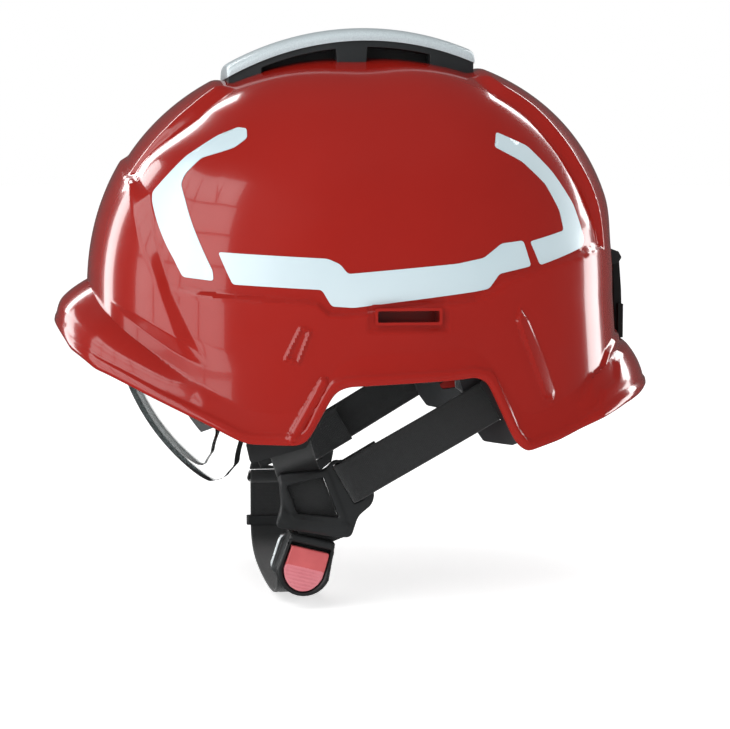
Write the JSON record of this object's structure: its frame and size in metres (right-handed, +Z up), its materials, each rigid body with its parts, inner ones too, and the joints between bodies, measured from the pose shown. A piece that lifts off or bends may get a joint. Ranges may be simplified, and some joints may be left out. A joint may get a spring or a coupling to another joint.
{
  "type": "rescue helmet",
  "caption": "Vented red rescue helmet with reflective patches, a swing-up clear visor, webbing chin harness with a push-button buckle and a knob-adjusted nape cradle.",
  "frame": {"origin": "centre of the head opening at headband height", "axes": "+Z up towards the crown, -Y forwards the way the wearer faces, +X to the wearer's left"},
  "size_m": [0.2192, 0.2876, 0.2745],
  "materials": {
    "red_shell": "high gloss",
    "foam": "moulded bead foam",
    "dark_plastic": "satin",
    "grey_cap": "satin",
    "screw_steel": "plated",
    "black_plastic": "fine texture",
    "pad_fabric": "knitted cover over foam",
    "webbing": "woven",
    "black_rubber": "matte",
    "clear_lens": "clear polycarbonate",
    "red_button": "satin",
    "tongue_metal": "satin",
    "reflective": "retroreflective film"
  },
  "bodies": {
    "helmet": {"brow_pad": "pad_fabric", "buckle_body": "black_plastic", "button_spring": "screw_steel", "crown_pad": "pad_fabric", "crown_strap_cross": "webbing", "crown_strap_long": "webbing", "divider_left": "black_plastic", "divider_right": "black_plastic", "front_anchor_left": "black_plastic", "front_anchor_right": "black_plastic", "front_anchor_rivets": "screw_steel", "front_strap_left": "webbing", "front_strap_right": "webbing", "headband": "black_plastic", "impact_liner_front_left": "foam", "impact_liner_front_right": "foam", "impact_liner_rear_left": "foam", "impact_liner_rear_right": "foam", "outer_shell": "red_shell", "rear_clip_base": "black_plastic", "rear_clip_pin": "screw_steel", "rear_strap_anchors": "black_plastic", "rear_strap_left": "webbing", "rear_strap_right": "webbing", "reflective_patch_front_left": "reflective", "reflective_patch_front_right": "reflective", "reflective_patch_rear_left": "reflective", "reflective_patch_rear_right": "reflective", "reflective_patch_side_left": "reflective", "reflective_patch_side_right": "reflective", "strap_anchors": "black_plastic", "vent_cover": "dark_plastic", "vent_cover_cap": "grey_cap", "vent_cover_screws": "screw_steel", "visor_pivot_pins": "black_plastic"},
    "visor": {"visor_lens": "clear_lens", "visor_arm_left": "black_plastic", "visor_arm_right": "black_plastic", "visor_rivets": "screw_steel"},
    "nape_unit": {"nape_cradle": "black_plastic", "nape_pad": "pad_fabric", "ratchet_housing": "black_plastic", "ratchet_cover": "black_plastic", "housing_screws": "screw_steel"},
    "knob": {"ratchet_knob": "dark_plastic", "ratchet_pinion": "black_plastic", "knob_screw": "screw_steel"},
    "rack_l": {"rack_left": "black_plastic"},
    "rack_r": {"rack_right": "black_plastic"},
    "lamp_clip": {"rear_clip_strap": "black_rubber"},
    "button": {"release_button": "red_button"},
    "chin": {"chin_strap": "webbing", "buckle_tongue": "tongue_metal", "strap_keeper": "black_rubber"}
  },
  "joints": [
    {"name": "visor_swing", "type": "hinge", "parent": "helmet", "child": "visor", "pos_m": [0, -0.008, 0.0244], "axis": [-1, 0, 0], "range_deg": [0, 48]},
    {"name": "fit_slide", "type": "slide", "parent": "helmet", "child": "nape_unit", "axis": [0, -1, 0], "range_m": [0, 0.012]},
    {"name": "knob_turn", "type": "hinge", "parent": "nape_unit", "child": "knob", "pos_m": [0, 0.1084, -0.008], "axis": [0, -1, 0], "range_deg": [0, 137.6]},
    {"name": "rack_left_slide", "type": "slide", "parent": "nape_unit", "child": "rack_l", "axis": [-1, 0, 0], "range_m": [0, 0.0121]},
    {"name": "rack_right_slide", "type": "slide", "parent": "nape_unit", "child": "rack_r", "axis": [1, 0, 0], "range_m": [0, 0.0121]},
    {"name": "lamp_clip_lift", "type": "hinge", "parent": "helmet", "child": "lamp_clip", "pos_m": [0, 0.1364, 0.046], "axis": [1, 0, 0], "range_deg": [0, 30]},
    {"name": "button_press", "type": "slide", "parent": "helmet", "child": "button", "axis": [-1, 0, 0], "range_m": [0, 0.0024], "stiffness_N_per_m": 800, "springref_m": -0.0015, "deforming": ["button_spring"]},
    {"name": "chin_strap_swing", "type": "hinge", "parent": "helmet", "child": "chin", "pos_m": [-0.078, -0.031, -0.0735], "axis": [0, 1, 0], "range_deg": [0, 35]}
  ],
  "couplings": [
    {"joint": "knob_turn", "follows": "fit_slide", "rad_per_m": 200},
    {"joint": "rack_left_slide", "follows": "fit_slide", "ratio": 1},
    {"joint": "rack_right_slide", "follows": "fit_slide", "ratio": 1}
  ]
}
